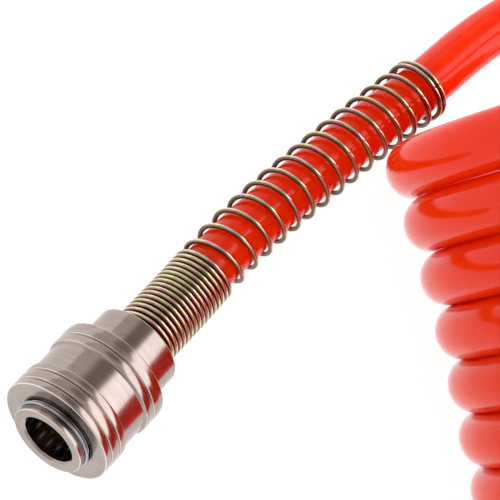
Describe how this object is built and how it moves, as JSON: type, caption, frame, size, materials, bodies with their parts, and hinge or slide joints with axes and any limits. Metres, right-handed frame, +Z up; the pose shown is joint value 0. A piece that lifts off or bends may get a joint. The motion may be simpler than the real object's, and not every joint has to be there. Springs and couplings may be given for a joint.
{
  "type": "coiled air hose",
  "caption": "Recoil air hose wound in a close coil, with a sleeve-locked quick coupler socket on one tail and a plug on the other, each with a spring guard.",
  "frame": {"origin": "on the floor, under the middle of the two end fittings' box", "axes": "+Z up, +X along the coil from the coupler's end, +Y from the coupler's mouth towards the plug's side"},
  "size_m": [0.2343, 0.219, 0.104],
  "materials": {
    "nickel_steel": "turned steel with a thin nickel plating, satin",
    "zinc_steel": "spring wire with yellow passivated zinc, slightly iridescent",
    "bright_steel": "bright hardened steel",
    "brass": "turned brass",
    "black_rubber": "matt nitrile rubber",
    "red_hose": "glossy orange-red polyurethane"
  },
  "bodies": {
    "root": {"socket_body": "nickel_steel", "snap_ring": "bright_steel", "plug_seal": "black_rubber", "body_seal": "black_rubber", "sleeve_spring": "bright_steel", "valve_spring": "bright_steel", "hose_stem": "brass", "clamp_nut": "nickel_steel", "plug_body": "nickel_steel", "plug_nut": "nickel_steel", "coupler_spring_guard": "zinc_steel", "plug_spring_guard": "zinc_steel", "hose_end_coupler": "red_hose", "hose_end_plug": "red_hose", "hose_tail_coupler": "red_hose", "hose_tail_plug": "red_hose", "hose_coil": "red_hose"},
    "sleeve": {"lock_sleeve": "nickel_steel"},
    "valve": {"valve_poppet": "brass", "valve_seal": "black_rubber"},
    "ball_1": {"lock_ball_1": "bright_steel"},
    "ball_2": {"lock_ball_2": "bright_steel"},
    "ball_3": {"lock_ball_3": "bright_steel"},
    "ball_4": {"lock_ball_4": "bright_steel"},
    "ball_5": {"lock_ball_5": "bright_steel"},
    "ball_6": {"lock_ball_6": "bright_steel"}
  },
  "joints": [
    {"name": "sleeve_slide", "type": "slide", "parent": "root", "child": "sleeve", "axis": [-0.4429, 0.8883, -0.1219], "range_m": [0, 0.004], "stiffness_N_per_m": 1200, "springref_m": -0.004, "deforming": ["sleeve_spring"]},
    {"name": "valve_slide", "type": "slide", "parent": "root", "child": "valve", "axis": [-0.4429, 0.8883, -0.1219], "range_m": [0, 0.0035], "stiffness_N_per_m": 400, "springref_m": -0.003, "deforming": ["valve_spring"]},
    {"name": "ball_1_slide", "type": "slide", "parent": "root", "child": "ball_1", "axis": [-0.8949, -0.4462, 0], "range_m": [0, 0.0009]},
    {"name": "ball_2_slide", "type": "slide", "parent": "root", "child": "ball_2", "axis": [-0.4946, -0.1286, 0.8596], "range_m": [0, 0.0009]},
    {"name": "ball_3_slide", "type": "slide", "parent": "root", "child": "ball_3", "axis": [0.4004, 0.3176, 0.8596], "range_m": [0, 0.0009]},
    {"name": "ball_4_slide", "type": "slide", "parent": "root", "child": "ball_4", "axis": [0.8949, 0.4462, 0], "range_m": [0, 0.0009]},
    {"name": "ball_5_slide", "type": "slide", "parent": "root", "child": "ball_5", "axis": [0.4946, 0.1286, -0.8596], "range_m": [0, 0.0009]},
    {"name": "ball_6_slide", "type": "slide", "parent": "root", "child": "ball_6", "axis": [-0.4004, -0.3176, -0.8596], "range_m": [0, 0.0009]}
  ],
  "couplings": [
    {"joint": "ball_1_slide", "follows": "sleeve_slide", "ratio": 0.225},
    {"joint": "ball_2_slide", "follows": "sleeve_slide", "ratio": 0.225},
    {"joint": "ball_3_slide", "follows": "sleeve_slide", "ratio": 0.225},
    {"joint": "ball_4_slide", "follows": "sleeve_slide", "ratio": 0.225},
    {"joint": "ball_5_slide", "follows": "sleeve_slide", "ratio": 0.225},
    {"joint": "ball_6_slide", "follows": "sleeve_slide", "ratio": 0.225}
  ]
}
